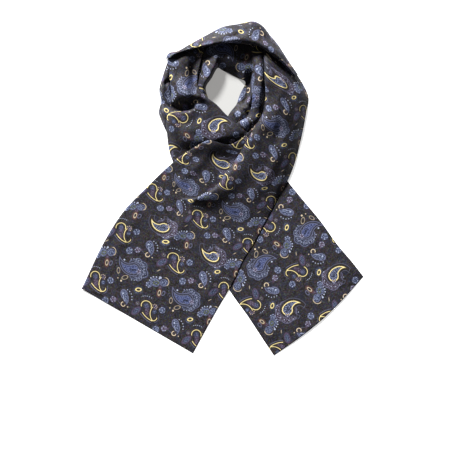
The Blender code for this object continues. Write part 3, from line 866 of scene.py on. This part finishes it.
def draw_seahorse(spot):
    """Slate drop that ends in a cream curl."""
    body = least(oval(spot, 0, 1, 10, 7.5, 102), oval(spot, 4, -9, 8, 5, 75))
    tail = arc(spot, -6, -9, 12.5, 310, 30)
    curl = arc(spot, -3.4, -20.0, 4.6, 215, 115)
    return [
        (fill, SLATE, least(body, tail - 2.4), 0.95, 0.8),
        (paint, LILAC, line(least(body, tail - 2.6)), 0.9),
        (paint, PALE, disc(spot, -2.5, 3, 1.7), 0.8),
        (paint, PALE, arc(spot, 12, -4, 14.0, 200, 24) - 0.6, 0.5),
        (paint, PALE, beads(spot, 0, -5, 17.5, 1.1, 20, 22, 46), 0.75),
        (paint, BROWN, disc(spot, -3.4, -20.0, 6.4), 0.85),
        (paint, CREAM, curl - 0.8, 0.95),
        (fill, PLUM, oval(spot, -20, -10, 6, 2.6, 10), 0.9, 0.8, 0.3),
        (paint, CREAM, disc(spot, 6.5, -26, 1.3), 0.7),
    ]


def draw_cluster(spot):
    """Cluster of flowers, with an eye and a drop beside it."""
    heads = least(disc(spot, -17, -5, 6.0), disc(spot, -5, 1, 9.0), oval(spot, 13, 1, 9.0, 8.0, 0))
    return [
        (fill, SLATE, heads, 1.0, 1.0),
        (paint, LILAC, line(heads + 0.5), 0.55),
        (paint, PALE, beads(spot, -4, 1, 11.5, 1.3, 30, 105, 62), 0.85),
        (paint, PALE, beads(spot, -17, -5, 5.5, 1.0, 60, 200, 100), 0.7),
        (paint, OLIVE, line(oval(spot, -3, 0, 4.6, 3.0, 20), 0.9)),
        (paint, CREAM, arc(spot, 14, 3, 10, 10, 58) - 0.7, 0.75),
        (paint, PALE, disc(spot, 6, 12, 2.0), 0.8, 0.8),
        (fill, PLUM, disc(spot, 5, -9, 4.0), 0.8, 1.2, 0.2),
        (fill, SLATE, oval(spot, -40, -18, 10, 8, 20), 0.55, 2.0, 0.3),
        (paint, BROWN, oval(spot, -39, -17, 7.5, 5.2, 8), 0.9, 0.8),
        (paint, GOLD, line(oval(spot, -39, -17, 5.4, 3.2, 8), 0.75), 0.85),
        (paint, RUST, line(oval(spot, 3, -21, 8.4, 5.4, 80), 0.9), 0.55, 0.9),
        (paint, CREAM, line(oval(spot, 3, -21, 5.4, 2.8, 78), 0.6), 0.75),
        (paint, LILAC, line(oval(spot, 12, -22, 5, 3.2, 60)), 0.7),
        (blossom, spot, -36, 21, 5.0, PLUM),
    ]


def draw_large_paisley(spot):
    """Large slate paisley with echoing outlines and a scalloped fan round its head."""
    brim = fan(spot, 3, -2, 20.5, 8, 3.6, 4)
    drop = teardrop(spot, (3.2, -1.6, 14.0), (2.1, 16.0, 31.6), (-8.2, 32.4, 21.0), 1.0, 29.0)
    return [
        (fill, SLATE, brim, 0.7, 0.6, 0.4),
        (paint, LILAC, line(brim + 0.8, 0.6), 0.65),
        (paint, NAVY, line(brim + 3.4, 0.9), 0.8),
        (paint, PALE, beads(spot, 3, -2, 23.0, 1.1, 15, 0, 110), 0.55),
        (paint, LILAC, line(brim + 7.4, 0.7), 0.6),
        (paint, CHARCOAL, drop - 2.0, 0.8),
        (fill, SLATE, drop, 0.7, 0.6, 0.2),
        (paint, LILAC, line(drop, 0.65), 0.85),
        (paint, CHARCOAL, line(drop + 2.3, 0.9), 0.8),
        (paint, LILAC, line(drop + 4.4, 0.6), 0.75),
        (fill, BLUE, drop + 5.4, 0.8, 0.8, 0.3),
        (paint, NAVY, oval(spot, 1, -3, 6.0, 2.4, 0), 0.8, 0.9),
        (paint, CREAM, line(oval(spot, -32, -4, 6.0, 3.2, 84), 0.5), 0.5),
        (paint, CREAM, line(oval(spot, -18, -19, 7.0, 3.8, 15), 0.5), 0.5),
        (paint, CREAM, disc(spot, -27, -26, 2.0), 0.9),
        (paint, CREAM, disc(spot, -34, -20, 1.4), 0.6),
        (paint, PALE, disc(spot, -18, 19, 1.8), 0.8),
        (paint, LILAC, beads(spot, 1, 18, 38, 1.0, 9, 190, 26), 0.6),
    ]


def draw_small_paisley(spot):
    """Small golden paisley in a lilac lace."""
    brim = fan(spot, 3, -3, 22, 7, 3.0, 3.5)
    drop = teardrop(spot, (3.5, -2.9, 10.6), (3.3, 12.5, 26.2), (-7.9, 20.9, 17.2), 2.9, 20.0)
    return [
        (fill, PLUM, brim, 0.6, 1.0, 0.3),
        (paint, LILAC, line(brim + 1.0, 0.7), 0.75),
        (paint, PALE, beads(spot, 3, -3, 23.5, 1.2, 24, 10, 100), 0.6),
        (paint, CHARCOAL, drop - 7.0, 0.8, 0.8),
        (paint, LILAC, line(drop - 6.4, 0.5), 0.55),
        (paint, BROWN, drop - 3.0, 0.9, 0.9),
        (fill, SLATE, drop, 0.95, 0.6),
        (paint, NAVY, oval(spot, 2, -3, 5, 2.4, 10), 0.7, 1.0),
        (paint, GOLD, line(drop, GOLD_HALF + 0.3), 0.95),
    ]


# Motifs in the order they are printed, each over the last. across and along say where on the print one
# stands, and rows how many rows further the next one does.
MOTIFS = table("draw across along rows", [
    (draw_large_paisley, 68, -62, 2),
    (draw_small_paisley, 63, 66, 2),
    (draw_cluster, 11, -62, 1),
    (draw_seahorse, 60, -3, 1),
    (draw_hook, 0, 0, 1),
])

# Mottling of the charcoal ground, one ink over another. An ink lies where soft noise of its scale is
# above its level, or below it where above is False.
GROUND = table("ink scale level above strength soft", [
    (BROWN, 0.045, 0.48, True, 0.9, 0.05),
    (NAVY, 0.10, 0.53, True, 0.9, 0.05),
    (BLACK, 0.10, 0.44, False, 0.8, 0.05),
    (OLIVE, 0.22, 0.60, True, 0.45, 0.05),
    (PLUM, 0.22, 0.40, False, 0.35, 0.05),
    (SLATE, 0.28, 0.56, True, 0.2, 0.04),
])

SILK_SOCKETS = {
    "Roughness": 0.62,
    "Specular IOR Level": 0.2,
    "Sheen Weight": 0.1,
    "Sheen Roughness": 0.4,
    "Sheen Tint": (0.75, 0.8, 1.0, 1.0),
}


def motif_place(cloth, motif):
    """Upright position within the nearest motif of its kind."""
    half = (REPEAT_ACROSS / 2, ROW_PITCH * motif.rows / 2, 1.0)
    offset = vector("SUBTRACT", cloth, (motif.across, motif.along, 0.0))
    local = vector("WRAP", offset, half, tuple(-h for h in half))
    return result(add_node("ShaderNodeVectorRotate", (local, (0.0, 0.0, 0.0), math.radians(CHART_TURN)),
                           rotation_type="Z_AXIS"))


def noise(spot, scale):
    """Soft noise about 0.5, with patches some 1 / scale millimetres wide."""
    return Field(add_node("ShaderNodeTexNoise", (spot, scale, NOISE_DETAIL)).outputs["Fac"])


def new_material(name):
    """Material that nodes are added to from now on, and its shader."""
    material = bpy.data.materials.new(name)
    material.use_nodes = True
    Field.tree = material.node_tree
    return material, material.node_tree.nodes["Principled BSDF"]


def feed(field, node, name):
    """Link a field to the named input of a node."""
    Field.tree.links.new(field.socket, node.inputs[name])


def set_sockets(node, values):
    """Set inputs of a node that are the same all over the surface."""
    for name, value in values.items():
        node.inputs[name].default_value = value


def printed_silk():
    """Printed silk: a mottled dark ground, the motifs over it, a fine twill and a soft sheen."""
    material, shader = new_material("printed silk")
    metres = result(add_node("ShaderNodeUVMap", (), uv_map="cloth"))
    cloth = vector("SCALE", metres, 1.0 / MM)

    cells = add_node("ShaderNodeTexVoronoi", (cloth, 1.0 / LACE_CELL), voronoi_dimensions="2D")
    from_heart = Field(cells.outputs["Distance"])
    Field.lace = result(add_node("ShaderNodeMapRange", (from_heart, *LACE_FADE, 1.0, LACE_THIN)))
    Field.hearts = (from_heart - HEART_REACH) * LACE_CELL

    patches = {scale: noise(cloth, scale) for scale in sorted({row.scale for row in GROUND})}
    colour = CHARCOAL
    for row in GROUND:
        patch = patches[row.scale]
        shape = row.level - patch if row.above else patch - row.level
        colour = paint(colour, row.ink, shape, row.strength, row.soft)
    for motif in MOTIFS:
        for lay_on, *mark in motif.draw(motif_place(cloth, motif)):
            colour = lay_on(colour, *mark)
    feed(colour, shader, "Base Color")

    ribs = calc("SINE", vector("DOT_PRODUCT", cloth, compass(TWILL_TURN)) * (2 * math.pi / TWILL_PITCH))
    weave = add_node("ShaderNodeBump", (TWILL_STRENGTH, TWILL_DEPTH * MM))
    feed(ribs, weave, "Height")
    feed(result(weave), shader, "Normal")
    set_sockets(shader, SILK_SOCKETS)
    return material


FLOOR_HALF = 3000.0
FLOOR_DROP = 0.2        # how far the floor lies below the cloth
FLOOR_TONE = (0.9, 0.9, 0.9, 1.0)
FLOOR_GLOW = (1.0, 1.0, 1.0, 1.0)
# Painted shade: tone and glow of the floor round the neck hole.
HOLE_SHADE_TONE = (0.33, 0.33, 0.32, 1.0)
HOLE_SHADE_GLOW = (0.46, 0.45, 0.44, 1.0)
HOLE_SOFT = 10.0        # half the width over which a tone gives way to this one
UNLIT = (0.0, 0.0, 0.0, 1.0)
UNLIT_SOFT = 2.0
FLOOR_SOCKETS = {"Roughness": 0.9, "Emission Strength": 0.65}

# Discs of painted shade on the floor: round the neck hole the floor is painted greyer and glows less,
# and inside the roll, where the cloth keeps the light out, its glow is taken away.
DISC = "x y reach"
NECK_HOLE = table(DISC, [(6.5, 218, 85)])
INSIDE_ROLL = table(DISC, [
    (-38, 303, 20),
    (-40, 318, 12),
    (-5, 312, 28),
    (30, 325, 28),
    (66, 335, 24),
    (85, 334, 15),
    (97, 308, 16),
])


def covered_by(discs, spot):
    """Distance outside the nearest of the discs, for a spot in metres."""
    return least(*(disc(spot, row.x * MM, row.y * MM, row.reach * MM) for row in discs))


def add_floor():
    """Pale floor with a slight glow, with painted shade: greyer and dimmer round the neck hole and unlit
    inside the roll.
    """
    half = FLOOR_HALF * MM
    corners = [(-half, -half, 0), (half, -half, 0), (half, half, 0), (-half, half, 0)]
    mesh = bpy.data.meshes.new("floor")
    mesh.from_pydata(corners, [], [(0, 1, 2, 3)])
    floor = add_object("floor", mesh)
    floor.location.z = -FLOOR_DROP * MM
    material, shader = new_material("floor")
    spot = Field(add_node("ShaderNodeTexCoord", ()).outputs["Object"])
    hole_shade = covered_by(NECK_HOLE, spot)
    # Painted shade: the floor is greyer and dimmer round the neck hole, and has no glow inside the roll.
    tone = paint(FLOOR_TONE, HOLE_SHADE_TONE, hole_shade, soft=HOLE_SOFT * MM)
    glow = paint(FLOOR_GLOW, HOLE_SHADE_GLOW, hole_shade, soft=HOLE_SOFT * MM)
    glow = paint(glow, UNLIT, covered_by(INSIDE_ROLL, spot), soft=UNLIT_SOFT * MM)
    feed(tone, shader, "Base Color")
    feed(glow, shader, "Emission Color")
    set_sockets(shader, FLOOR_SOCKETS)
    mesh.materials.append(material)


SKY_SOCKETS = {"Color": (1.0, 1.0, 1.0, 1.0), "Strength": 0.08}


def add_sky():
    """Faint even light from all round."""
    world = bpy.data.worlds.new("studio")
    world.use_nodes = True
    set_sockets(world.node_tree.nodes["Background"], SKY_SOCKETS)
    bpy.context.scene.world = world


KEY_HEIGHT = 26.0       # degrees above the floor
KEY_ASIDE = 28.0        # degrees to the left of straight behind the neck
KEY_POWER = 10.5
KEY_WIDTH = 9.0         # degrees that the light takes up in the sky, which softens the shadows


def add_key():
    """Low light from behind the neck and a little to the left."""
    light = bpy.data.lights.new("key", "SUN")
    light.energy = KEY_POWER
    light.angle = math.radians(KEY_WIDTH)
    key = add_object("key", light)
    key.rotation_euler = (math.radians(KEY_HEIGHT - 90), 0, math.radians(KEY_ASIDE))


PHOTO_CENTRE = (7.7, -81.95)    # point on the floor in the middle of the photo's frame
CAMERA_HEIGHT = 2762.0
LENS = 100.0
SENSOR = 36.0


def add_camera():
    """Camera straight above the scarf, as in the photo."""
    data = bpy.data.cameras.new("camera")
    data.lens = LENS
    data.sensor_width = SENSOR
    camera = add_object("camera", data)
    camera.location = [value * MM for value in (*PHOTO_CENTRE, CAMERA_HEIGHT)]
    bpy.context.scene.camera = camera
    bpy.context.scene.view_settings.view_transform = "Standard"


# Stretches of cloth in the order they are laid, from the floor up. print_across and print_along say
# where on the print the first corner lies, or for the upper tail its hem at the outer selvedge, and
# print_turn how far the first section is turned there, in degrees.
STRETCHES = table("name knots sections creases held print_across print_along print_turn", [
    ("tail_right", tail_right_knots, TAIL_RIGHT, TAIL_RIGHT_CREASES, "laid", -150, -248, 6),
    ("left_under", under_knots, LEFT_UNDER, UNDER_CREASES, "folded", 41, -140, 0),
    ("neck_inner", inner_knots, INNER, INNER_CREASES, "gathered", 50, 61, 0),
    ("inner_pleat", pleat_knots, PLEAT, PLEAT_CREASES, "folded", 42, -165, 0),
    ("front", front_knots, FRONT, FRONT_CREASES, "draped", -74, -62, 0),
    ("tail_left", tail_left_knots, TAIL_LEFT, TAIL_LEFT_CREASES, "folded", -131, 33, 0),
    ("neck_roll", roll_knots, ROLL, ROLL_CREASES, "gathered", -14, 44, 19),
])

# The lower tail and the front band meet at a seam. Here is the row of each that lies there, and the step
# from it to the next row of the same stretch.
SEAM_ENDS = {
    "tail_right": (-1, -1),
    "front": (0, 1),
}


def dress(name, grid, held, across, along):
    """Add one stretch as a shell that stands for its solid and rests on the last of those settled."""
    shell = add_shell("silk_" + name, grid, silk, across, along)
    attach(shell, "root")
    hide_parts(name)


silk = printed_silk()
core = core_grid()
heap = settle(core, np.full(PLAN_CELLS, np.nan))
dress("hidden_layers", core, "folded", *lay_flat(core))
for stretch in STRETCHES:
    knots = [stretch.knots(row) for row in stretch.sections]
    grid = loft(knots)
    lay_creases(grid, stretch.creases)
    if stretch.name in SEAM_ENDS:
        draw_back(grid, *SEAM_ENDS[stretch.name])
    heap = settle(grid, heap)
    if stretch.name == "neck_roll":
        ground_foot(grid, knots)
    if stretch.name == "tail_left":
        across, along = lay_pleated(grid, knots)
    else:
        across, along = lay_flat(grid, stretch.print_turn)
    dress(stretch.name, grid, stretch.held, across + stretch.print_across, along + stretch.print_along)

add_floor()
add_sky()
add_key()
add_camera()
